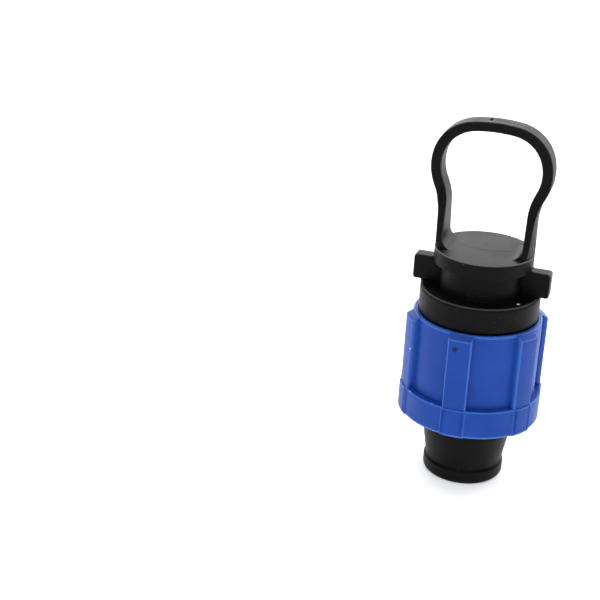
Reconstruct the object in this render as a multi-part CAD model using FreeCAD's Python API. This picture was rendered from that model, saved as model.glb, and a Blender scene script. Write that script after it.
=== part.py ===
import FreeCAD, Part
import math
import os

# Lock-nut end plug with a pull ring, for 16 mm drip tape.
# Millimetres, +Z up. The plug stands on its barb tip, the origin is the middle of that tip, and the
# ring, the ears and the mould's parting line lie in the XZ plane.
# The black plug is one moulding. It is written as nodes that meet face to face where its section changes.
# The blue lock nut is a second moulding. Its clamping lip is a node of its own, because the nut's screw
# motion is a slide that carries a turn, and the lip is the part of the nut that a turn doesn't change.

# ---- plug: heights of the sections, from the tip ----
BAND_TOP = 2.85
WAIST_Z = 3.35
CONE_TOP = 10.4
THREAD_START = 18.9
BEVEL_BOTTOM = 33.3
RIM_BOTTOM = 36.35
RIM_TOP = 41.4
DISC_BOTTOM = 46.8
DISC_TOP = 49.8
EAR_BOTTOM = 41.6
BORE_END = 45.0

# ---- plug: radii ----
BAND_R = 8.35
WAIST_R = 7.95
SHANK_R = 9.15
COLLAR_R = 12.2
NECK_R = 8.4
DISC_R = 10.0
BORE_R = 6.2
TIP_ROUND = 1.0
EDGE_ROUND = 0.3
RIM_ROUND = 0.5

# ---- thread: single start, right hand ----
PITCH = 5.0
CREST_R = 10.2
CREST_W = 1.8
FLANK_W = 1.2
CREST_Z_AT_X = 34.45
THREAD_GAP = 0.25
ROOT_RELIEF = 0.2
CREST_RELIEF = 0.3
HELIX_STEPS = 12

# ---- ears and webs ----
EAR_REACH = 13.9
EAR_THICK = 2.9

# ---- pull ring: outline in XZ, one half ----
RING_TOP = 76.1
RING_INNER_TOP = 74.1
ARM_OUT = 9.85
ARM_IN = 8.05
SIDE_CENTRE = (1.25, 66.6)
SIDE_R = 10.8
SIDE_INNER_R = 8.65
CORNER_R = 8.6
CORNER_INNER_R = 7.0
CROWN_R = 30.0
WAIST_ARC_R = 10.0
WAIST_ARC_INNER_R = 11.0
FOOT_ROUND = 2.2
# ---- pull ring: half depth along Y ----
RING_HALF_DEPTH = 2.05
ROOT_HALF_DEPTH = 4.25
TAPER_TOP = 61.8

# ---- lock nut ----
NUT_BOTTOM = 14.1
NUT_TOP = 36.0
SKIRT_TOP = 20.15
SKIRT_R = 14.5
BARREL_R = 13.1
MOUTH_R = 11.05
LIP_R = 9.45
LIP_Z = (15.4, 17.4, 18.4)
POCKET_R = 12.3
POCKET_GAP = 0.1
SEAT_GAP = 0.45
RIB_COUNT = 6
RIB_W = 4.8
RIB_R = 14.5
PAD_R = 14.8
RIB_ANGLE = 28.0
RIB_DROP = 0.9
NUT_EDGE = 0.5

AXIS = FreeCAD.Vector(0, 0, 1)
ORIGIN = FreeCAD.Vector(0, 0, 0)
BIG = 60.0


def turned(profile):
    """Solid of revolution about Z from (radius, height) points."""
    points = [FreeCAD.Vector(r, 0, z) for r, z in profile]
    face = Part.Face(Part.makePolygon(points + points[:1]))
    return face.revolve(ORIGIN, AXIS, 360)


def cylinder(radius, bottom, top):
    return Part.makeCylinder(radius, top - bottom, FreeCAD.Vector(0, 0, bottom))


def box(x, y, z):
    """Box from three (low, high) pairs."""
    size = [high - low for low, high in (x, y, z)]
    return Part.makeBox(*size, FreeCAD.Vector(x[0], y[0], z[0]))


def ring_edges(shape, radius, height):
    """Circular edges about Z with this radius, at this height."""
    found = []
    for edge in shape.Edges:
        curve = edge.Curve
        if not isinstance(curve, Part.Circle):
            continue
        if abs(curve.Radius - radius) < 1e-3 and abs(curve.Center.z - height) < 1e-3:
            found.append(edge)
    return found


def save(shape, node):
    shape.exportStep(f"parts/{node}.step")
    print(node, "solids", len(shape.Solids), "valid", shape.isValid(), "volume", round(shape.Volume, 2))


# ---------------------------------------------------------------- plug

def barb():
    """Round-nosed band, crease, and the cone that the tape is pushed up."""
    body = turned([(0, 0), (BAND_R, 0), (BAND_R, BAND_TOP), (WAIST_R, WAIST_Z), (SHANK_R, CONE_TOP),
                   (0, CONE_TOP)])
    body = body.makeFillet(TIP_ROUND, ring_edges(body, BAND_R, 0))
    return body.cut(cylinder(BORE_R, -1, CONE_TOP + 1))


def helix(radius, start, turn_from, turn_to):
    """Smooth right-hand helix edge round Z, between two turn counts. It crosses +X at start at turn 0."""
    points = []
    for step in range(HELIX_STEPS + 1):
        turn = turn_from + (turn_to - turn_from) * step / HELIX_STEPS
        angle = 2 * math.pi * turn
        x, y = radius * math.cos(angle), radius * math.sin(angle)
        points.append(FreeCAD.Vector(x, y, start + PITCH * turn))
    curve = Part.BSplineCurve()
    curve.interpolate(points)
    return curve.toShape()


def helical_bar(corners, start, turn_from, turn_to):
    """Solid swept along part of a helix: corners are the (radius, height) points of its section, in order."""
    edges = [helix(radius, start + height, turn_from, turn_to) for radius, height in corners]
    faces = [Part.makeRuledSurface(a, b) for a, b in zip(edges, edges[1:] + edges[:1])]
    for end in (0, -1):
        points = [edge.Vertexes[end].Point for edge in edges]
        faces.append(Part.Face(Part.makePolygon(points + points[:1])))
    shell = Part.Shell(faces)
    shell.sewShape()
    bar = Part.Solid(shell)
    if bar.Volume < 0:
        bar.reverse()
    return bar


def threaded_rod(gap, bottom, top):
    """Rod with the coarse thread, larger all round by gap.

    The middle of its crest passes CREST_Z_AT_X over +X. Its groove runs ROOT_RELIEF past the root, so that
    what the rod is joined to or cut from has a clean root."""
    slope = FLANK_W / (CREST_R - SHANK_R)
    root_r, outside_r = SHANK_R + gap, CREST_R + gap + CREST_RELIEF
    root_half = (PITCH - CREST_W) / 2 - FLANK_W + gap * slope - gap * math.hypot(1, slope)
    outside_half = root_half + slope * (outside_r - root_r)
    root_r, root_half = root_r - ROOT_RELIEF, root_half - slope * ROOT_RELIEF
    lower = [(root_r, -root_half), (outside_r, -outside_half)]
    upper = [(outside_r, outside_half), (root_r, root_half)]
    groove_z = CREST_Z_AT_X + PITCH / 2
    first = math.floor((bottom - groove_z) / PITCH) - 1
    last = math.ceil((top - groove_z) / PITCH) + 1
    thirds = [k / 3 for k in range(3 * first, 3 * last)]
    groove = [helical_bar(lower + upper, groove_z, turn, turn + 1 / 3) for turn in thirds]
    return cylinder(CREST_R + gap, bottom, top).cut(groove)


def collar():
    """Wide stop flange, with a 45 degree bevel on the nut's side."""
    body = turned([(0, BEVEL_BOTTOM), (SHANK_R, BEVEL_BOTTOM), (COLLAR_R, RIM_BOTTOM), (COLLAR_R, RIM_TOP),
                   (0, RIM_TOP)])
    body = body.makeFillet(RIM_ROUND, ring_edges(body, COLLAR_R, RIM_TOP))
    return body.cut(cylinder(BORE_R, BEVEL_BOTTOM - 1, RIM_TOP + 1))


def threaded_shank(stop):
    """Tube with the coarse thread. Its last turn runs out into the bevel of the collar, the stop."""
    runout = BEVEL_BOTTOM + CREST_R - SHANK_R
    rod = threaded_rod(0, THREAD_START, runout).cut(stop)
    body = cylinder(SHANK_R, CONE_TOP, BEVEL_BOTTOM).fuse(rod)
    return body.cut(cylinder(BORE_R, CONE_TOP - 1, runout + 1))


def neck():
    """Neck between collar and disc, with the flat webs and the two ears in the ring's plane."""
    half = EAR_THICK / 2
    body = cylinder(NECK_R, RIM_TOP, DISC_BOTTOM)
    web_reach = COLLAR_R - RIM_ROUND
    web = box((-web_reach, web_reach), (-half, half), (RIM_TOP, EAR_BOTTOM))
    ears = box((-EAR_REACH, EAR_REACH), (-half, half), (EAR_BOTTOM, DISC_BOTTOM))
    tips = [e for e in ears.Edges if all(abs(abs(v.X) - EAR_REACH) < 1e-6 for v in e.Vertexes)]
    ears = ears.makeFillet(EDGE_ROUND, tips)
    body = body.fuse([web, ears])
    return body.cut(cylinder(BORE_R, RIM_TOP - 1, BORE_END))


def end_disc():
    """Solid disc that closes the plug and carries the ring."""
    body = cylinder(DISC_R, DISC_BOTTOM, DISC_TOP)
    return body.makeFillet(EDGE_ROUND, ring_edges(body, DISC_R, DISC_TOP))


def meeting_point(centre_a, reach_a, centre_b, reach_b):
    """Right-hand point that is reach_a from centre_a and reach_b from centre_b."""
    dx, dz = centre_b[0] - centre_a[0], centre_b[1] - centre_a[1]
    gap = math.hypot(dx, dz)
    along = (gap * gap + reach_a * reach_a - reach_b * reach_b) / (2 * gap)
    across = math.sqrt(reach_a * reach_a - along * along)
    spots = []
    for side in (-1, 1):
        x = centre_a[0] + (along * dx - side * across * dz) / gap
        z = centre_a[1] + (along * dz + side * across * dx) / gap
        spots.append((x, z))
    return max(spots)


def arc_between(centre, radius, start, end):
    """Arc in the XZ plane, from angle start to angle end in radians."""
    points = []
    for angle in (start, (start + end) / 2, end):
        x = centre[0] + radius * math.cos(angle)
        z = centre[1] + radius * math.sin(angle)
        points.append(FreeCAD.Vector(x, 0, z))
    return Part.Arc(*points).toShape()


def line_between(start, end):
    return Part.makeLine(FreeCAD.Vector(start[0], 0, start[1]), FreeCAD.Vector(end[0], 0, end[1]))


def half_loop(arm_x, waist_r, side_r, corner_r, top, bottom):
    """Right half of a loop outline: straight arm, waist, side, corner and crown, each tangent to the next."""
    cx, cz = SIDE_CENTRE
    rise = math.sqrt((waist_r + side_r) ** 2 - (arm_x + waist_r - cx) ** 2)
    waist = (arm_x + waist_r, cz - rise)
    crown = (0, top - CROWN_R)
    corner = meeting_point(SIDE_CENTRE, side_r - corner_r, crown, CROWN_R - corner_r)
    turn = math.asin(rise / (waist_r + side_r))
    side_end = math.atan2(corner[1] - cz, corner[0] - cx)
    crown_start = math.atan2(corner[1] - crown[1], corner[0] - crown[0])
    return [
        line_between((arm_x, bottom), (arm_x, waist[1])),
        arc_between(waist, waist_r, math.pi, math.pi - turn),
        arc_between(SIDE_CENTRE, side_r, -turn, side_end),
        arc_between(corner, corner_r, side_end, crown_start),
        arc_between(crown, CROWN_R, crown_start, math.pi / 2),
    ]


def loop_face(arm_x, waist_r, side_r, corner_r, top):
    """Face inside a whole loop outline, closed along the disc's top."""
    half = half_loop(arm_x, waist_r, side_r, corner_r, top, DISC_TOP)
    other = [e.mirror(ORIGIN, FreeCAD.Vector(1, 0, 0)) for e in half]
    base = line_between((-arm_x, DISC_TOP), (arm_x, DISC_TOP))
    return Part.Face(Part.Wire(Part.__sortEdges__(half + other + [base])))


def pull_ring():
    """Finger loop. Its arms are deep at the disc and taper up to the even bar of the loop."""
    outer = loop_face(ARM_OUT, WAIST_ARC_R, SIDE_R, CORNER_R, RING_TOP)
    inner = loop_face(ARM_IN, WAIST_ARC_INNER_R, SIDE_INNER_R, CORNER_INNER_R, RING_INNER_TOP)
    reach = 2 * ROOT_HALF_DEPTH
    solids = []
    for face in (outer, inner):
        face.translate(FreeCAD.Vector(0, -reach / 2, 0))
        solids.append(face.extrude(FreeCAD.Vector(0, reach, 0)))
    opening = solids[1]
    feet = [e for e in opening.Edges
            if all(abs(v.Z - DISC_TOP) < 1e-6 and abs(abs(v.X) - ARM_IN) < 1e-6 for v in e.Vertexes)]
    opening = opening.makeFillet(FOOT_ROUND, feet)
    loop = solids[0].cut(opening)
    side = [(-ROOT_HALF_DEPTH, DISC_TOP), (ROOT_HALF_DEPTH, DISC_TOP), (RING_HALF_DEPTH, TAPER_TOP),
            (RING_HALF_DEPTH, RING_TOP + 1), (-RING_HALF_DEPTH, RING_TOP + 1), (-RING_HALF_DEPTH, TAPER_TOP)]
    points = [FreeCAD.Vector(-BIG / 2, y, z) for y, z in side]
    taper = Part.Face(Part.makePolygon(points + points[:1])).extrude(FreeCAD.Vector(BIG, 0, 0))
    return loop.common(taper)


# ---------------------------------------------------------------- lock nut

def rib(radius, bottom, top, drop, top_r):
    """One longitudinal rib along +X. Its end slopes down by drop, from top_r out to radius."""
    half = RIB_W / 2
    start = MOUTH_R + 1
    outline = [(start, bottom), (radius, bottom), (radius, top - drop), (top_r, top), (start, top)]
    points = [FreeCAD.Vector(x, -half, z) for x, z in outline]
    block = Part.Face(Part.makePolygon(points + points[:1])).extrude(FreeCAD.Vector(0, RIB_W, 0))
    return block.common(cylinder(radius, bottom, top))


def nut_outside():
    """Barrel, wider skirt, and six ribs that run on over the skirt as low pads."""
    barrel = cylinder(BARREL_R, NUT_BOTTOM, NUT_TOP)
    barrel = barrel.makeChamfer(EDGE_ROUND, ring_edges(barrel, BARREL_R, NUT_TOP))
    skirt = cylinder(SKIRT_R, NUT_BOTTOM, SKIRT_TOP)
    skirt = skirt.makeChamfer(NUT_EDGE, ring_edges(skirt, SKIRT_R, NUT_BOTTOM))
    long_rib = rib(RIB_R, NUT_BOTTOM + NUT_EDGE, NUT_TOP, RIB_DROP, BARREL_R - EDGE_ROUND)
    pad = rib(PAD_R, NUT_BOTTOM + NUT_EDGE, SKIRT_TOP, PAD_R - SKIRT_R, SKIRT_R)
    extras = [skirt]
    for k in range(RIB_COUNT):
        for shape in (long_rib, pad):
            turned_copy = shape.copy()
            turned_copy.rotate(ORIGIN, AXIS, RIB_ANGLE + 360 / RIB_COUNT * k)
            extras.append(turned_copy)
    return barrel.fuse(extras)


def nut_bore():
    """Smooth mouth and pocket for the lip, plain bore, and the seat that clears the collar's bevel."""
    _, _, lip_top = LIP_Z
    seat_r = COLLAR_R - (RIM_BOTTOM - NUT_TOP) + SEAT_GAP
    minor_r = SHANK_R + THREAD_GAP
    return turned([(0, NUT_BOTTOM - 1), (MOUTH_R, NUT_BOTTOM - 1), (MOUTH_R, LIP_Z[0]), (POCKET_R, LIP_Z[0]),
                   (POCKET_R, lip_top + POCKET_GAP), (minor_r, lip_top + POCKET_GAP),
                   (minor_r, NUT_TOP - (seat_r - minor_r)), (seat_r + 1, NUT_TOP + 1), (0, NUT_TOP + 1)])


def lock_nut():
    """The nut without its lip. The bore's thread clears the shank's by THREAD_GAP."""
    thread = threaded_rod(THREAD_GAP, LIP_Z[2] + POCKET_GAP, NUT_TOP)
    return nut_outside().cut(nut_bore()).cut(thread)


def clamp_lip():
    """Lip inside the nut's mouth, that closes on the tape over the cone."""
    bottom, throat, top = LIP_Z
    bottom = bottom + POCKET_GAP
    outer = POCKET_R - POCKET_GAP
    return turned([(MOUTH_R, bottom), (outer, bottom), (outer, top), (LIP_R, top), (LIP_R, throat)])


os.makedirs("parts", exist_ok=True)
flange = collar()
save(barb(), "barb")
save(threaded_shank(flange), "threaded_shank")
save(flange, "collar")
save(neck(), "neck")
save(end_disc(), "end_disc")
save(pull_ring(), "pull_ring")
save(lock_nut(), "lock_nut")
save(clamp_lip(), "clamp_lip")
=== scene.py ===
import bpy
import math
import numpy as np
from mathutils import Matrix, Vector

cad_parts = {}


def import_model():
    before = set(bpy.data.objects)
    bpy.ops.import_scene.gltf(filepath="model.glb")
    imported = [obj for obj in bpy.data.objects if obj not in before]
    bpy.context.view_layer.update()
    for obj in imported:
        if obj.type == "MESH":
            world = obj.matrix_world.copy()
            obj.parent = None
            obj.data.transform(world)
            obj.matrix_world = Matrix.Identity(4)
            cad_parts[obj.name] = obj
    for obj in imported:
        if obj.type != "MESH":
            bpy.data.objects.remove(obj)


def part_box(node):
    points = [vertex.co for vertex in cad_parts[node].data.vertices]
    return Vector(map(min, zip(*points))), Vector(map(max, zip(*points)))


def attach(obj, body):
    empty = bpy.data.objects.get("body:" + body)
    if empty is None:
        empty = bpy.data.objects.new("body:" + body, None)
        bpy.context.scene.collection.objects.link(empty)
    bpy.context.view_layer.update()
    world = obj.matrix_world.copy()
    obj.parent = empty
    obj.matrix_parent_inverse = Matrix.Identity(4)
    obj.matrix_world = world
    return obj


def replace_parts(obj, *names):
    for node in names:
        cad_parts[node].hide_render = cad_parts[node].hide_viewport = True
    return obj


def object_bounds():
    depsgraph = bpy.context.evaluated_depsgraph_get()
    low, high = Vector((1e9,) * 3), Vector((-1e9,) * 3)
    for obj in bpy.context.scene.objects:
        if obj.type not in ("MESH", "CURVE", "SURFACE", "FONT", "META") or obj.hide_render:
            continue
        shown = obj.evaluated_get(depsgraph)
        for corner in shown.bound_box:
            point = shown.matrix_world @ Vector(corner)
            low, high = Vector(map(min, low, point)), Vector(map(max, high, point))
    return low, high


# Lock-nut end plug for drip tape: the black plug with its pull ring, and the blue lock nut.
# Shape and mark lengths are millimetres in the CAD's frame until make_mesh or a material turns them into
# metres. The stage is in metres.

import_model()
CAD_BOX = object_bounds()
MM = 0.001


def low(node):
    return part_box(node)[0] / MM


def high(node):
    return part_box(node)[1] / MM


# ---- plug, read from the frame ----
CONE_TOP = high("barb").z
BEVEL_BOTTOM = low("collar").z
RIM_TOP = high("collar").z
COLLAR_R = high("collar").x
DISC_BOTTOM = low("end_disc").z
DISC_TOP = high("end_disc").z
DISC_R = high("end_disc").x
NECK_R = high("neck").y
EAR_REACH = high("neck").x
SHANK_R = high("barb").x
CREST_R = high("threaded_shank").x
RING_TOP = high("pull_ring").z
ROOT_HALF_DEPTH = high("pull_ring").y

# ---- plug, shapes inside those boxes ----
BAND_R, BAND_TOP = 8.35, 2.85
WAIST_R, WAIST_Z = 7.95, 3.35
BORE_R, BORE_END = 6.2, 45.0
HUB_R = 0.4             # where the bore's end and the disc's top turn into a fan of triangles
RIM_BOTTOM = BEVEL_BOTTOM + COLLAR_R - SHANK_R
RIM_ROUND = 0.5
FLASH = 0.03            # the parting line's ridge

# ---- ears and their webs ----
EAR_HALF, EAR_ROUND = 1.45, 0.2
EAR_BOTTOM, EAR_TOP = RIM_TOP + 0.2, DISC_BOTTOM + 1.6
EAR_ROOT = NECK_R - 0.9
EAR_SHOULDER = DISC_R - 0.12
WEB_REACH, WEB_FOOT = COLLAR_R - 0.05, RIM_TOP - 1.0

# ---- thread: single start, right hand ----
PITCH = 5.0
CREST_HALF, FLANK = 0.9, 1.2
CREST_EASE = 0.04
CREST_Z_AT_X = 34.45
THREAD_START, THREAD_END = 18.9, BEVEL_BOTTOM + 1.1
THREAD_LEAD = 1.2
THREAD_GAP = 0.25
DENSE_FROM, DENSE_TO = THREAD_START - 6, BEVEL_BOTTOM + 1.2    # the plug's rows are close between these

# ---- pull ring: outline in XZ, right half ----
BAR = 2.0
ARM_OUT, ARM_IN = 9.85, 8.05
SIDE_CENTRE = (1.25, RING_TOP - 9.5)
OUTER = {"arm": ARM_OUT, "waist": 10.0, "side": 10.8, "corner": 8.6, "top": RING_TOP - FLASH}
INNER = {"arm": ARM_IN, "waist": 11.0, "side": 8.65, "corner": 7.0, "top": RING_TOP - BAR}
CROWN_R = 30.0
FOOT_ROUND = 2.2        # inside fillet between an arm and the disc
SIDE_FILLET = 0.45      # small fillet on an arm's front and back faces
SINK = 0.03             # how deep the fillets start below the disc's top
PROUD = 0.012           # how far the arms stand off the disc's side
BAR_ROUND = 0.13
RING_HALF_DEPTH = 2.05
TAPER_TOP, TAPER_SOFT = DISC_TOP + 12.0, 0.1
CORNER_FROM, CORNER_SPAN = 2.6, 1.6     # in Y, where the foot's outer corners are eased
CORNER_SETBACK, SETBACK_HEIGHT = 0.3, 1.5
FREE_ABOVE, FREE_RATE = 7.0, 0.06       # above this height the arms may leave the disc's circle
SUNK_ROWS = (1.0, 0.6, 0.3)
FOOT_ROWS, ARM_ROWS = 14, 12
ARC_ROWS = (14, 26, 16, 40)
FLASH_ROWS = (-0.8, -0.5, -0.32, -0.18, -0.08, 0, 0.08, 0.18, 0.32, 0.5, 0.8)

# ---- lock nut ----
NUT_BOTTOM = low("lock_nut").z
NUT_TOP = high("lock_nut").z
PAD_R = high("lock_nut").y
SKIRT_TOP = NUT_BOTTOM + 6.05
SKIRT_R, BARREL_R, RIB_R = 14.5, 13.1, 14.5
MOUTH_R, SEAT_R, LIP_R = 11.05, 12.3, 9.45
MINOR_R = SHANK_R + THREAD_GAP
SEAT_START = 0.4        # depth below the nut's top where the seat's rows begin
LIP_BOTTOM, LIP_TOP = 15.4, 17.4
BORE_FOOT = LIP_TOP + 1.0
RIBS, RIB_HALF, RIB_ANGLE, RIB_DROP = 6, 2.4, 28.0, 0.9
RIB_ROUND, RIB_FOOT_ROUND, ROUND_SHARE = 0.2, 0.22, 0.45
RIB_COLUMNS = (0, 0.7, 1.35)
WALL_COLUMNS, WALL_SUPPORT = 9, 0.008   # the support is in radians
CREST_SHARE, FOOT_SHARE = 0.8, 0.3      # of the way up a rib: its crest's end, its foot's start
LOW_RIB, HIGH_RIB = 0.3, 1.0            # a low rib needs no support; the foot of a high one is a recess with painted shade, a lower one's foot gets a painted highlight

# ---- small marks ----
LINE_CENTRE_Y, LINE_RADIUS = 8.1, 9.35
LINE_FRONT = (2.2, 2.8)                 # the witness line fades out between these
RING_GATE = (-1.3, 0, RING_TOP)
GATE_DEPTH, GATE_R, GATE_STRETCH = 0.8, 0.24, 2.2
DISC_GATE, DISC_GATE_REACH = (-0.1, 1.9, DISC_TOP), 0.2
COLLAR_NICK, NICK_REACH = (8.75, -5.9, RIM_TOP), 0.4
RIB_SPECK, SPECK_REACH, SPECK_RAGGED = (-1.3, -14.3, 33.2), 0.7, 1.0
SOFT_FROM = 0.65                        # share of a mark's reach where its edge begins to fade

# ---- mesh density and edges ----
SUPPORT = 0.12          # from an arc to the point that keeps its shading off the flat beside it
SUPPORT_SHARE = 0.15    # and at most this share of that flat
STRAIGHT = math.radians(1)
QUARTER_ARC = np.linspace(0, math.pi / 2, 5)
EDGE_LIMIT = 0.8        # a bend of a larger radius isn't an edge to the materials
COLUMNS = 192
ROW_STEP = 0.25
MARK_HALF = math.radians(0.45)

# ---- how strong the painted highlight on each edge is, from 0 to 1 ----
DISC_HIGHLIGHT, COLLAR_HIGHLIGHT, EAR_HIGHLIGHT, RING_HIGHLIGHT = 1.0, 0.55, 0.5, 0.4


# ---------------------------------------------------------------- mesh tools

def rounded(corners, closed=False, steps=5):
    """Outline through (a, b, rounding) corners, each made an arc with a support point on each side.

    Returns the points, and for each 1 on an arc that turns left, -1 on one that turns right, 0 between."""
    points, curl = [], []
    count = len(corners)
    for k, (a, b, rounding) in enumerate(corners):
        here = np.array((a, b))
        if not closed and k in (0, count - 1):
            points.append(here)
            curl.append(0)
            continue
        back = np.array(corners[k - 1][:2]) - here
        ahead = np.array(corners[(k + 1) % count][:2]) - here
        far_back, far_ahead = np.linalg.norm(back), np.linalg.norm(ahead)
        back, ahead = back / far_back, ahead / far_ahead
        half = math.acos(max(-1.0, min(1.0, float(back @ ahead)))) / 2
        side = np.sign(-back[0] * ahead[1] + back[1] * ahead[0])
        turn = math.pi - 2 * half
        straight = turn < STRAIGHT
        tangent = rounding if straight else rounding / math.tan(half)
        start, end = here + back * tangent, here + ahead * tangent
        points.append(start + back * min(SUPPORT, SUPPORT_SHARE * far_back))
        curl.append(0)
        for step in range(steps + 1):
            t = step / steps
            if straight:
                points.append(start + (end - start) * t)
                curl.append(0)
                continue
            inward = (back + ahead) / np.linalg.norm(back + ahead)
            centre = here + inward * rounding / math.sin(half)
            x, y = start - centre
            angle = side * turn * t
            points.append(centre + (x * math.cos(angle) - y * math.sin(angle),
                                    x * math.sin(angle) + y * math.cos(angle)))
            curl.append(side * (rounding < EDGE_LIMIT))
        points.append(end + ahead * min(SUPPORT, SUPPORT_SHARE * far_ahead))
        curl.append(0)
    return np.array(points), np.array(curl)


def make_mesh(name, vertices, faces, edge, body):
    """Object from vertices in millimetres. edge is 1 on outer edges, -1 in recesses; from it the materials
    paint highlights on edges and, on the nut, shade in recesses.
    """
    mesh = bpy.data.meshes.new(name)
    mesh.from_pydata([tuple(v) for v in np.asarray(vertices) * MM], [], faces)
    mesh.attributes.new("edge", "FLOAT", "POINT").data.foreach_set("value", np.asarray(edge, np.float32))
    mesh.validate()
    mesh.update()
    for face in mesh.polygons:
        face.use_smooth = len(face.vertices) <= 4
    piece = bpy.data.objects.new(name, mesh)
    bpy.context.scene.collection.objects.link(piece)
    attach(piece, body)
    return piece


def grid_faces(rows, columns, wrap_rows=False):
    """Quads of a grid whose rows close on themselves, and whose columns do too if wrap_rows is set."""
    faces = []
    for i in range(rows if wrap_rows else rows - 1):
        here, there = i * columns, (i + 1) % rows * columns
        for j in range(columns):
            k = (j + 1) % columns
            faces.append((here + j, here + k, there + k, there + j))
    return faces


def turned_row(radius, angles, z):
    """One row of points round Z. The radius is one number, or one for each angle."""
    return np.stack([radius * np.cos(angles), radius * np.sin(angles), np.full(len(angles), z)], 1)


def capped_tube(name, rows, edge):
    """Piece of the plug: a tube through these rows of points, with a flat cap on each end."""
    columns = len(rows[0])
    last = (len(rows) - 1) * columns
    faces = grid_faces(len(rows), columns)
    faces += [tuple(range(columns))[::-1], tuple(range(last, last + columns))]
    return make_mesh(name, np.concatenate(rows), faces, edge, "root")


# ---------------------------------------------------------------- plug

def thread_radius(angle, z, gap=0.0):
    """Radius of the right-hand thread at this angle and height, with its corners eased."""
    phase = (z - CREST_Z_AT_X - PITCH * angle / (2 * math.pi) + PITCH / 2) % PITCH - PITCH / 2
    t = np.clip((CREST_HALF + FLANK - np.abs(phase)) / FLANK, 0, 1)
    eased = t + CREST_EASE * np.sin(2 * math.pi * (t - 0.5))
    return SHANK_R + gap + (CREST_R - SHANK_R) * eased


def ring_angles(count, marks):
    """Angles round Z, with two close neighbours at each marked angle, so that a line can run down there."""
    angles = [2 * math.pi * k / count for k in range(count)]
    for mark in marks:
        angles += [(mark + side * MARK_HALF) % (2 * math.pi) for side in (-1, 1)]
    return np.array(sorted(angles))


def plug_rows():
    """(radius, z, bend) of the plug's rows, from the bore's end to the disc's top, close on the thread."""
    corners = [
        (HUB_R, BORE_END, 0), (BORE_R, BORE_END, 0.6), (BORE_R, 0, 0.3), (BAND_R, 0, 1.0),
        (BAND_R, BAND_TOP, 0.15), (WAIST_R, WAIST_Z, 0.2), (SHANK_R, CONE_TOP, 4.0),
        (SHANK_R, BEVEL_BOTTOM, 0.3), (COLLAR_R, RIM_BOTTOM, 0.25), (COLLAR_R, RIM_TOP, RIM_ROUND),
        (NECK_R, RIM_TOP, 0.12), (NECK_R, DISC_BOTTOM, 0.2), (DISC_R, DISC_BOTTOM, 0.06),
        (DISC_R, DISC_TOP, 0.15), (HUB_R, DISC_TOP, 0),
    ]
    profile, curl = rounded(corners)
    rows = []
    for point, after, bend in zip(profile, profile[1:], curl):
        rows.append((*point, bend))
        gap = after[1] - point[1]
        dense = point[0] > SHANK_R - 0.1 and DENSE_FROM < after[1] and point[1] < DENSE_TO
        pieces = int(gap / ROW_STEP) if dense and gap > ROW_STEP else 1
        rows += [(*(point + (after - point) * n / pieces), 0) for n in range(1, pieces)]
    rows.append((*profile[-1], curl[-1]))
    return rows


def painted_highlight_at(z):
    """Strength of the painted highlight on the plug's turned edges at this height: only the disc's rim and
    the collar's get one.
    """
    if z > DISC_TOP - 0.3:
        return DISC_HIGHLIGHT
    return COLLAR_HIGHLIGHT if RIM_TOP - 0.12 < z < RIM_TOP + 0.01 else 0.0


def plug_body():
    """Everything turned on the plug: blind bore, barb, cone, threaded shank, collar, neck and disc."""
    rows = plug_rows()
    angles = ring_angles(COLUMNS, marks=(0, math.pi))
    flash = np.zeros(len(angles))
    flash[[0, int(np.argmin(np.abs(angles - math.pi)))]] = FLASH
    vertices, edge = [], []
    for radius, z, bend in rows:
        # neither the bore nor the disc's top has thread or flash
        outside = radius > BORE_R + 1 and z < DISC_TOP - 0.2
        if outside and THREAD_START < z < THREAD_END and radius < CREST_R:
            lead = min(1.0, (z - THREAD_START) / THREAD_LEAD)
            radius = np.maximum(radius, SHANK_R + (thread_radius(angles, z) - SHANK_R) * lead)
        elif outside and bend == 0:
            radius = radius + flash
        vertices.append(turned_row(radius, angles, z))
        edge += [bend * painted_highlight_at(z)] * len(angles)
    columns = len(angles)
    faces = grid_faces(len(rows), columns)
    bore_hub = len(rows) * columns
    disc_hub, last = bore_hub + 1, bore_hub - columns
    vertices = np.concatenate(vertices + [[(0, 0, BORE_END), (0, 0, DISC_TOP)]])
    for j in range(columns):
        k = (j + 1) % columns
        faces += [(bore_hub, k, j), (disc_hub, last + j, last + k)]
    piece = make_mesh("plug_body", vertices, faces, edge + [0, 0], "root")
    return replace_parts(piece, "barb", "threaded_shank", "collar", "end_disc")


def slab(name, corners, half, rounding):
    """Flat piece of this closed XZ outline, its thickness along Y, with rounded rims."""
    outline, curl = rounded(corners, closed=True)
    ahead = np.roll(outline, -1, 0) - np.roll(outline, 1, 0)
    ahead /= np.linalg.norm(ahead, axis=1)[:, None]
    inward = np.stack([-ahead[:, 1], ahead[:, 0]], 1)
    rims = [(half - rounding * (1 - math.sin(a)), rounding * (1 - math.cos(a)), math.sin(2 * a))
            for a in QUARTER_ARC]
    rims = [(half - rounding - SUPPORT, 0, 0)] + rims + [(half, rounding + SUPPORT, 0)]
    rows, edge = [], []
    for y, inset, bend in [(-y, inset, bend) for y, inset, bend in rims[::-1]] + rims:
        flat = outline + inward * inset
        rows.append(np.stack([flat[:, 0], np.full(len(flat), y), flat[:, 1]], 1))
        edge += list(EAR_HIGHLIGHT * np.clip(curl * (inset <= rounding) + bend, -1, 1))
    return capped_tube(name, rows, edge)


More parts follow.
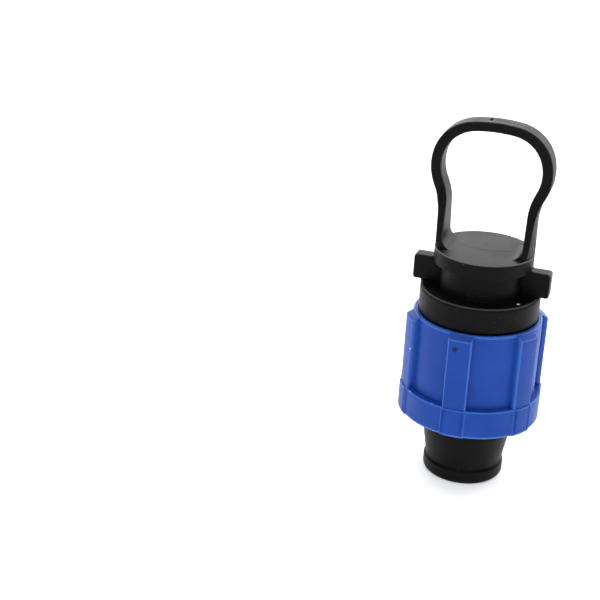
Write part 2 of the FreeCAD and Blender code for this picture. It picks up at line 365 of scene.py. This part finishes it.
def ears():
    """The two ears in the ring's plane, each with the flat web that joins it to the collar."""
    corners = [
        (EAR_ROOT, WEB_FOOT, 0.4), (WEB_REACH, WEB_FOOT, 0.4), (WEB_REACH, EAR_BOTTOM, 0.2),
        (EAR_REACH, EAR_BOTTOM, 0.5), (EAR_REACH, DISC_BOTTOM, 0.55), (EAR_SHOULDER, DISC_BOTTOM, 0.45),
        (EAR_SHOULDER, EAR_TOP, 0.4), (EAR_ROOT, EAR_TOP, 0.4),
    ]
    right = slab("ear_right", corners, EAR_HALF, EAR_ROUND)
    mirrored = [(-x, z, rounding) for x, z, rounding in corners[::-1]]
    left = slab("ear_left", mirrored, EAR_HALF, EAR_ROUND)
    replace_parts(right, "neck")
    return right, left


def outline_arcs(sizes):
    """Right half of one outline of the ring above the arm, as (centre, radius, start, end) arcs."""
    cx, cz = SIDE_CENTRE
    waist_r, side_r, corner_r = sizes["waist"], sizes["side"], sizes["corner"]
    rise = math.sqrt((waist_r + side_r) ** 2 - (sizes["arm"] + waist_r - cx) ** 2)
    waist = (sizes["arm"] + waist_r, cz - rise)
    crown = (0, sizes["top"] - CROWN_R)
    turn = math.asin(rise / (waist_r + side_r))
    # the corner's centre is as far from the side's centre and the crown's as tangent arcs need
    a, b = side_r - corner_r, CROWN_R - corner_r
    dx, dz = crown[0] - cx, crown[1] - cz
    gap = math.hypot(dx, dz)
    along = (gap * gap + a * a - b * b) / (2 * gap)
    across = math.sqrt(a * a - along * along)
    corner = max((cx + (along * dx - s * across * dz) / gap, cz + (along * dz + s * across * dx) / gap)
                 for s in (-1, 1))
    side_end = math.atan2(corner[1] - cz, corner[0] - cx)
    crown_start = math.atan2(corner[1] - crown[1], corner[0] - crown[0])
    return [(waist, waist_r, math.pi, math.pi - turn), (SIDE_CENTRE, side_r, -turn, side_end),
            (corner, corner_r, side_end, crown_start), (crown, CROWN_R, crown_start, math.pi / 2)]


def half_depth(z):
    """Half of the ring's depth along Y: deep at the disc, tapering to the even bar of the loop."""
    t = (z - DISC_TOP) / (TAPER_TOP - DISC_TOP)
    deeper = max(0.0, 1 - t) if abs(t - 1) > TAPER_SOFT else (1 + TAPER_SOFT - t) ** 2 / (4 * TAPER_SOFT)
    return RING_HALF_DEPTH + (ROOT_HALF_DEPTH - RING_HALF_DEPTH) * min(1.0, deeper)


def quarter_fillet(height, radius):
    """How far a fillet of this radius stands out at this height above what it meets."""
    if height >= radius:
        return 0.0
    rest = radius - max(0.0, height)
    return radius - math.sqrt(radius * radius - rest * rest)


def ring_stations():
    """(outer, inner) points along the right half of the ring, from inside the disc to the crown."""
    outer, inner = outline_arcs(OUTER), outline_arcs(INNER)
    foot_out, foot_in = DISC_R + PROUD, ARM_IN - FOOT_ROUND
    stations = [((foot_out, DISC_TOP - sink), (foot_in, DISC_TOP - sink)) for sink in SUNK_ROWS]
    outer_end, inner_end = outer[0][0][1] - DISC_TOP, inner[0][0][1] - DISC_TOP
    draft = (foot_out - ARM_OUT) / outer_end
    heights = [FOOT_ROUND * (1 - math.cos(a)) - SINK for a in np.linspace(0, math.pi / 2, FOOT_ROWS)]
    top = heights[-1]
    rows = [(h, h) for h in heights]
    rows += [(top + (outer_end - top) * t, top + (inner_end - top) * t)
             for t in np.linspace(0, 1, ARM_ROWS)[1:]]
    for h_out, h_in in rows:
        x_in = ARM_IN - quarter_fillet(h_in + SINK, FOOT_ROUND)
        stations.append(((foot_out - draft * h_out, DISC_TOP + h_out), (x_in, DISC_TOP + h_in)))
    for arc_out, arc_in, count in zip(outer, inner, ARC_ROWS):
        for t in np.linspace(0, 1, count + 1)[1:]:
            pair = []
            for centre, radius, start, end in (arc_out, arc_in):
                angle = start + (end - start) * t
                pair.append((centre[0] + radius * math.cos(angle), centre[1] + radius * math.sin(angle)))
            stations.append(tuple(pair))
    return stations


def ring_section(outer, inner):
    """Closed section between an outer and an inner point: a rounded rectangle with the parting ridge on it.

    Returns its points, and how far each is on a rounded corner."""
    outer, inner = np.array(outer), np.array(inner)
    thick = np.linalg.norm(outer - inner)
    across = (outer - inner) / thick
    foot = quarter_fillet(inner[1] - DISC_TOP + SINK, SIDE_FILLET)
    deep_out, deep_in = half_depth(outer[1]) + foot, half_depth(inner[1]) + foot
    corners = [(thick, -deep_out, BAR_ROUND), (thick, deep_out, BAR_ROUND), (0, deep_in, BAR_ROUND),
               (0, -deep_in, BAR_ROUND)]
    flat, curl = rounded(corners, closed=True, steps=4)
    split = len(flat) // 4
    mid = [(thick + (FLASH if y == 0 else 0), y) for y in FLASH_ROWS]
    flat = np.concatenate([flat[:split], mid, flat[split:]])
    curl = np.concatenate([curl[:split], np.zeros(len(mid)), curl[split:]])
    points = [(inner[0] + across[0] * s, y, inner[1] + across[1] * s) for s, y in flat]
    return np.array(points), curl


def pull_ring():
    """Finger loop whose feet flow into the disc. A gate pit sits on the crown, just left of the middle."""
    right = ring_stations()
    left = [((-o[0], o[1]), (-i[0], i[1])) for o, i in right[-2::-1]]
    rows, edge = [], []
    for outer, inner in right + left:
        points, curl = ring_section(outer, inner)
        reach = np.hypot(points[:, 0], points[:, 1])
        above = np.clip(points[:, 2] - DISC_TOP, 0, None)
        corner = np.clip((np.abs(points[:, 1]) - CORNER_FROM) / CORNER_SPAN, 0, 1)
        eased = corner * corner * (3 - 2 * corner)
        setback = CORNER_SETBACK * eased * np.clip(1 - above / SETBACK_HEIGHT, 0, 1) ** 2
        limit = DISC_R + PROUD - setback + FREE_RATE * np.clip(above - FREE_ABOVE, 0, None) ** 2
        points[:, :2] *= np.minimum(1, limit / reach)[:, None]
        gate = np.hypot(points[:, 0] - RING_GATE[0], points[:, 1] / GATE_STRETCH)
        on_crown = points[:, 2] > RING_TOP - 0.5
        points[:, 2] -= np.where(on_crown, GATE_DEPTH * np.exp(-(gate / GATE_R) ** 4), 0)
        rows.append(points)
        edge.append(RING_HIGHLIGHT * curl)
    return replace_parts(capped_tube("finger_ring", rows, np.concatenate(edge)), "pull_ring")


# ---------------------------------------------------------------- lock nut

def nut_profiles():
    """Two matching profiles of the nut's outside, from its mouth to its seat: between ribs, and on one."""
    slope_foot = NUT_TOP - RIB_DROP
    mouth = [(MOUTH_R, LIP_BOTTOM, 0), (MOUTH_R, NUT_BOTTOM, 0.25)]
    seat = [(SEAT_R, NUT_TOP, 0.15), (SEAT_R - SEAT_START, NUT_TOP - SEAT_START, 0)]
    between = [(SKIRT_R, NUT_BOTTOM, 0.5), (SKIRT_R, SKIRT_TOP, 0.2), (BARREL_R, SKIRT_TOP, 0.15),
               (BARREL_R, slope_foot, 0.2), (BARREL_R, NUT_TOP, 0.35)]
    on_rib = [(PAD_R, NUT_BOTTOM, 0.5), (PAD_R, SKIRT_TOP, 0.12), (RIB_R, SKIRT_TOP, 0.1),
              (RIB_R, slope_foot, 0.2), (BARREL_R - 0.1, NUT_TOP, 0.25)]
    rib_points, rib_bend = rounded(mouth + on_rib + seat)
    return rounded(mouth + between + seat), (rib_points, np.clip(rib_bend, 0, 1))


def rib_columns(radius, rib_radius):
    """Half of one sector at one height, from the rib's middle to halfway to the next rib.

    Returns (distance along the rib's centre line, offset across it, share of the way up the rib, edge)."""
    rise = max(rib_radius - radius, 0.0)
    crest_round, foot_round = min(RIB_ROUND, ROUND_SHARE * rise), min(RIB_FOOT_ROUND, ROUND_SHARE * rise)
    columns = []
    for w in (*RIB_COLUMNS, RIB_HALF - crest_round - SUPPORT * (rise > LOW_RIB)):
        columns.append((math.sqrt(rib_radius ** 2 - w * w), w, 1, 0))
    top = math.sqrt(rib_radius ** 2 - (RIB_HALF - crest_round) ** 2)
    for a in QUARTER_ARC:
        w = RIB_HALF - crest_round * (1 - math.sin(a))
        share = 1 - (1 - CREST_SHARE) * a / (math.pi / 2)
        columns.append((top - crest_round * (1 - math.cos(a)), w, share, min(1, 2 * rise)))
    foot = math.sqrt(max(radius ** 2 - (RIB_HALF + foot_round) ** 2, 0))
    for a in QUARTER_ARC:
        w = RIB_HALF + foot_round * (1 - math.cos(a))
        share = FOOT_SHARE * (1 - 2 * a / math.pi)
        columns.append((foot + foot_round * (1 - math.sin(a)), w, share, -0.5 if rise > HIGH_RIB else 0.5))
    start = math.asin(min(1, (RIB_HALF + foot_round) / radius)) + WALL_SUPPORT
    for angle in np.linspace(start, math.pi / RIBS, WALL_COLUMNS):
        columns.append((radius * math.cos(angle), radius * math.sin(angle), 0, 0))
    return columns


def nut_row(between, on_rib, bend_between, bend_rib):
    """One closed row round the nut's outside."""
    half = rib_columns(between[0], on_rib[0])
    points, edge = [], []
    for k in range(RIBS):
        turn = math.radians(RIB_ANGLE + 360 / RIBS * k)
        for side, sector in ((-1, half[-2:0:-1]), (1, half)):
            for along, across, share, ridge in sector:
                z = between[1] + (on_rib[1] - between[1]) * share
                bend = bend_between + (bend_rib - bend_between) * share
                y = side * across
                points.append((along * math.cos(turn) - y * math.sin(turn),
                               along * math.sin(turn) + y * math.cos(turn), z))
                edge.append(max(-1, min(1, ridge + bend)))
    return np.array(points), edge


def lock_nut():
    """The whole nut: ribbed outside, then down its bore: seat, thread, clamping lip and mouth."""
    (between, bend_between), (on_rib, bend_rib) = nut_profiles()
    rows, edge = [], []
    for a, b, bend_a, bend_b in zip(between, on_rib, bend_between, bend_rib):
        points, row_edge = nut_row(a, b, bend_a, bend_b)
        rows.append(points)
        edge += row_edge
    angles = np.arctan2(rows[0][:, 1], rows[0][:, 0])
    for drop in np.arange(SEAT_START + ROW_STEP, NUT_TOP - BORE_FOOT - 0.1, ROW_STEP):
        z = NUT_TOP - drop
        bore = max(SEAT_R - drop, MINOR_R)
        rows.append(turned_row(np.maximum(bore, thread_radius(angles, z, THREAD_GAP)), angles, z))
    lip = [(LIP_R, BORE_FOOT), (LIP_R, LIP_TOP + 0.1), (LIP_R + 0.1, LIP_TOP - 0.1),
           (MOUTH_R - 0.15, LIP_BOTTOM + 0.25)]
    rows += [turned_row(radius, angles, z) for radius, z in lip]
    edge += [0] * (len(rows) * len(angles) - len(edge))
    faces = grid_faces(len(rows), len(angles), wrap_rows=True)
    piece = make_mesh("lock_nut_moulding", np.concatenate(rows), faces, edge, "nut")
    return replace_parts(piece, "lock_nut", "clamp_lip")


# ---------------------------------------------------------------- materials

# linear colours
BLACK_DARK, BLACK_PALE = (0.002, 0.0021, 0.0026), (0.0035, 0.0036, 0.0042)
EDGE_HIGHLIGHT, DUST, NICK = (0.14, 0.14, 0.142), (0.12, 0.12, 0.12), (0.7, 0.7, 0.7)
BLUE_DARK, BLUE_PALE = (0.002, 0.05, 0.33), (0.007, 0.067, 0.395)
THIN_EDGE_HIGHLIGHT, RECESS_SHADE = (0.1, 0.25, 0.68), (0.003, 0.025, 0.19)
SPECK, EDGE_GLINT = (0.004, 0.01, 0.06), (0.8, 0.88, 1.0)
FLOOR_DARK, FLOOR_PALE = (0.93, 0.93, 0.93), (0.95, 0.95, 0.95)
WHITE = (1, 1, 1)

# sockets of a Mix node that mixes colours
MIX_A, MIX_B, MIX_RESULT = 6, 7, 2


def opaque(value):
    """A plain colour with its alpha added. An output stays as it is."""
    return (*value, 1) if isinstance(value, tuple) else value


class NodeTree:
    """The nodes of a material or a world. Most methods add some and return the output that matters."""

    def __init__(self, owner):
        owner.use_nodes = True
        self.nodes, self.links = owner.node_tree.nodes, owner.node_tree.links

    def feed(self, node, inputs):
        """Link the inputs that are given an output, and set those that are given a value."""
        for socket, value in inputs.items():
            if isinstance(value, bpy.types.NodeSocket):
                self.links.new(value, node.inputs[socket])
            else:
                node.inputs[socket].default_value = value
        return node

    def add(self, kind, inputs):
        return self.feed(self.nodes.new(kind), inputs)

    def place(self):
        """Object space, in metres."""
        return self.nodes.new("ShaderNodeTexCoord").outputs["Object"]

    def edge(self):
        """The edge values that make_mesh stores."""
        node = self.nodes.new("ShaderNodeAttribute")
        node.attribute_name = "edge"
        return node.outputs["Fac"]

    def split(self, vector):
        return self.add("ShaderNodeSeparateXYZ", {"Vector": vector}).outputs

    def calculate(self, operation, a, b=0):
        node = self.add("ShaderNodeMath", {0: a, 1: b})
        node.operation = operation
        return node.outputs["Value"]

    def vector(self, operation, inputs):
        node = self.nodes.new("ShaderNodeVectorMath")
        node.operation = operation
        return self.feed(node, inputs).outputs

    def distance(self, place, point):
        """Metres from a point that is given in millimetres."""
        return self.vector("DISTANCE", {0: place, 1: Vector(point) * MM})["Value"]

    def span(self, value, low_in, high_in, low_out, high_out):
        """Stretch of this value mapped to another stretch, and held at its ends."""
        ends = {"From Min": low_in, "From Max": high_in, "To Min": low_out, "To Max": high_out}
        return self.add("ShaderNodeMapRange", {"Value": value, **ends}).outputs["Result"]

    def near(self, place, point, reach):
        """1 within reach of a point, 0 further off, with a soft edge. Lengths are millimetres."""
        return self.span(self.distance(place, point), SOFT_FROM * reach * MM, reach * MM, 1, 0)

    def beside(self, value, target, full, none):
        """1 while the value is within full of a target, 0 beyond none. The value is metres, the rest mm."""
        off = self.calculate("ABSOLUTE", self.calculate("SUBTRACT", value, target * MM))
        return self.span(off, full * MM, none * MM, 1, 0)

    def noise(self, place, scale, detail, stretch=(1, 1, 1)):
        """Noise from 0 to 1, scale in cells per metre."""
        mapped = self.add("ShaderNodeMapping", {"Vector": place, "Scale": stretch}).outputs["Vector"]
        inputs = {"Vector": mapped, "Scale": scale, "Detail": detail}
        return self.add("ShaderNodeTexNoise", inputs).outputs["Fac"]

    def ramp(self, value, low_end, high_end):
        """Colour between two (position, colour) ends."""
        node = self.add("ShaderNodeValToRGB", {"Fac": value})
        for element, (position, colour) in zip(node.color_ramp.elements, (low_end, high_end)):
            element.position = position
            element.color = opaque(colour)
        return node.outputs["Color"]

    def mix(self, share, a, b):
        """Colour a, with this share of b over it."""
        node = self.nodes.new("ShaderNodeMix")
        node.data_type = "RGBA"
        self.feed(node, {"Factor": share, MIX_A: opaque(a), MIX_B: opaque(b)})
        return node.outputs[MIX_RESULT]

    def bump(self, height, distance, strength, under=None):
        """Bump of this height over the one under it, its distance in millimetres."""
        node = self.add("ShaderNodeBump", {"Height": height, "Distance": distance * MM, "Strength": strength})
        if under is not None:
            self.links.new(under, node.inputs["Normal"])
        return node.outputs["Normal"]

    def surface(self, inputs):
        """What the material's shader gets."""
        self.feed(self.nodes["Principled BSDF"], inputs)


def witness_line(tree, place):
    """Fine bowed line of the core on the disc's top: part of a circle whose middle is behind the disc's."""
    line = tree.beside(tree.distance(place, (0, LINE_CENTRE_Y, DISC_TOP)), LINE_RADIUS, 0.02, 0.06)
    sides = tree.split(place)
    on_top = tree.beside(sides["Z"], DISC_TOP, 0.01, 0.02)
    front, fade = LINE_FRONT
    ahead = tree.span(sides["Y"], front * MM, fade * MM, 1, 0)
    return tree.calculate("MULTIPLY", tree.calculate("MULTIPLY", line, on_top), ahead)


def black_plastic():
    """Satin black polypropylene: fine grain, faint turned streaks, a few pale dust specks, painted highlights
    along the edges.
    """
    material = bpy.data.materials.new("black_moulding")
    tree = NodeTree(material)
    place = tree.place()
    cloud = tree.noise(place, scale=90, detail=4)
    grain = tree.noise(place, scale=5200, detail=2)
    streaks = tree.noise(place, scale=120, detail=3, stretch=(1, 1, 45))
    dust = tree.span(tree.noise(place, scale=2600, detail=1), 0.74, 0.78, 0, 0.35)
    # painted highlight: the edge value makes rims and edges paler, standing in for light on their roundings
    edge_highlight = tree.span(tree.edge(), 0.1, 1, 0, 0.8)
    base = tree.ramp(cloud, (0.3, BLACK_DARK), (0.75, BLACK_PALE))
    base = tree.mix(edge_highlight, base, EDGE_HIGHLIGHT)
    base = tree.mix(dust, base, DUST)
    base = tree.mix(tree.near(place, COLLAR_NICK, NICK_REACH), base, NICK)
    line = tree.calculate("MAXIMUM", witness_line(tree, place), tree.near(place, DISC_GATE, DISC_GATE_REACH))
    rough = tree.span(streaks, 0.3, 0.7, 0.4, 0.46)
    relief = tree.bump(grain, distance=0.02, strength=0.35)
    relief = tree.bump(streaks, distance=0.03, strength=0.5, under=relief)
    relief = tree.bump(tree.calculate("SUBTRACT", 1, line), distance=0.05, strength=0.8, under=relief)
    tree.surface({
        "Base Color": base,
        "Roughness": tree.calculate("MAXIMUM", rough, line),
        "Specular IOR Level": 0.085,
        "Normal": relief,
    })
    return material


def blue_plastic():
    """Royal blue polypropylene that lets a little light in, with painted highlights on thin edges, painted
    shade in recesses and painted glints on raised edges.
    """
    material = bpy.data.materials.new("blue_moulding")
    tree = NodeTree(material)
    place, edge = tree.place(), tree.edge()
    cloud = tree.noise(place, scale=110, detail=4)
    grain = tree.noise(place, scale=3800, detail=2)
    base = tree.ramp(cloud, (0.3, BLUE_DARK), (0.7, BLUE_PALE))
    # painted highlight: convex edges paler
    base = tree.mix(tree.span(edge, 0, 1, 0, 0.45), base, THIN_EDGE_HIGHLIGHT)
    # painted shade: concave corners and recesses darker
    base = tree.mix(tree.span(edge, 0, -1, 0, 0.5), base, RECESS_SHADE)
    # noise pushes the speck's outline about, by half of its range on average
    wobble = tree.add("ShaderNodeTexNoise", {"Vector": place, "Scale": 2500}).outputs["Color"]
    shift = tree.vector("SCALE", {0: wobble, "Scale": SPECK_RAGGED * MM})["Vector"]
    ragged = tree.vector("ADD", {0: place, 1: shift})["Vector"]
    middle = [v + SPECK_RAGGED / 2 for v in RIB_SPECK]
    base = tree.mix(tree.near(ragged, middle, SPECK_REACH), base, SPECK)
    # painted glints: sparse white spots along the raised edges
    glint_noise = tree.span(tree.noise(place, scale=900, detail=2), 0.66, 0.7, 0, 1)
    glint_edges = tree.span(edge, 0.55, 0.9, 0, 0.55)
    base = tree.mix(tree.calculate("MULTIPLY", glint_noise, glint_edges), base, EDGE_GLINT)
    tree.surface({
        "Base Color": base,
        "Roughness": tree.span(cloud, 0.3, 0.7, 0.36, 0.48),
        "Specular IOR Level": 0.18,
        "Subsurface Weight": 0.35,
        "Subsurface Radius": (0.15, 0.35, 1.0),
        "Subsurface Scale": 1.2 * MM,
        "Normal": tree.bump(grain, distance=0.02, strength=0.25),
    })
    return material


def floor_material():
    """Matt white that glows more with distance, so that the floor runs into the pale studio."""
    material = bpy.data.materials.new("pale_floor")
    tree = NodeTree(material)
    place = tree.place()
    far = tree.vector("LENGTH", {0: place})["Value"]
    tree.surface({
        "Base Color": tree.ramp(tree.noise(place, scale=4, detail=2), (0.3, FLOOR_DARK), (0.7, FLOOR_PALE)),
        "Roughness": 0.9,
        "Specular IOR Level": 0.1,
        "Emission Color": opaque(WHITE),
        "Emission Strength": tree.span(far, 0.25, 0.9, 0.45, 0.95),
    })
    return material


# ---------------------------------------------------------------- stage

def floor():
    """Wide pale plane that the plug stands on."""
    half = 4.0
    level = CAD_BOX[0].z - 0.02 * MM
    corners = [(-half, -half, level), (half, -half, level), (half, half, level), (-half, half, level)]
    mesh = bpy.data.meshes.new("floor")
    mesh.from_pydata(corners, [], [(0, 1, 2, 3)])
    plane = bpy.data.objects.new("floor", mesh)
    bpy.context.scene.collection.objects.link(plane)
    plane.data.materials.append(floor_material())


def softbox(name, azimuth, elevation, distance, size, power):
    """Area light of this width and height that looks at the middle of the plug."""
    light = bpy.data.lights.new(name, "AREA")
    light.shape = "RECTANGLE"
    light.size, light.size_y = size
    light.energy = power
    lamp = bpy.data.objects.new(name, light)
    middle = (CAD_BOX[0] + CAD_BOX[1]) / 2
    a, e = math.radians(azimuth), math.radians(elevation)
    back = Vector((math.sin(a) * math.cos(e), -math.cos(a) * math.cos(e), math.sin(e)))
    lamp.location = middle + back * distance
    lamp.rotation_mode = "QUATERNION"
    lamp.rotation_quaternion = (-back).to_track_quat("-Z", "Y")
    bpy.context.scene.collection.objects.link(lamp)


def world(overhead, horizon):
    """Studio walls: pale along the horizon, dim overhead."""
    sky = bpy.data.worlds.new("studio")
    tree = NodeTree(sky)
    direction = tree.nodes.new("ShaderNodeTexCoord").outputs["Generated"]
    glow = tree.span(tree.split(direction)["Z"], 0.16, 0.3, horizon, overhead)
    tree.feed(tree.nodes["Background"], {"Color": opaque(WHITE), "Strength": glow})
    bpy.context.scene.world = sky


def camera(aim, distance, azimuth, elevation, roll, lens):
    """Camera this far from its aim, in metres. It looks down at the elevation, from right of the front."""
    data = bpy.data.cameras.new("camera")
    data.lens = lens
    data.sensor_width = 36
    data.clip_start, data.clip_end = 0.01, 20
    cam = bpy.data.objects.new("camera", data)
    turn = Matrix.Rotation(math.radians(azimuth), 4, "Z")
    turn = turn @ Matrix.Rotation(math.radians(90 - elevation), 4, "X")
    turn = turn @ Matrix.Rotation(math.radians(roll), 4, "Z")
    cam.matrix_world = Matrix.Translation(Vector(aim) + turn.to_3x3() @ Vector((0, 0, distance))) @ turn
    bpy.context.scene.collection.objects.link(cam)
    bpy.context.scene.camera = cam


black, blue = black_plastic(), blue_plastic()
for piece in (plug_body(), *ears(), pull_ring()):
    piece.data.materials.append(black)
lock_nut().data.materials.append(blue)

floor()
world(overhead=0.08, horizon=0.9)
softbox("overhead", azimuth=10, elevation=74, distance=1.0, size=(1.4, 1.2), power=9.5)
softbox("back", azimuth=182, elevation=32, distance=0.9, size=(1.7, 1.0), power=15.0)
# a long lens, a little above and to the right of the front, slightly rolled, with the plug right of centre
camera(aim=(-0.03813, 0, 0.03161), distance=0.2945, azimuth=17.45, elevation=22.85, roll=2.95, lens=83.06)
bpy.context.scene.view_settings.view_transform = "Standard"
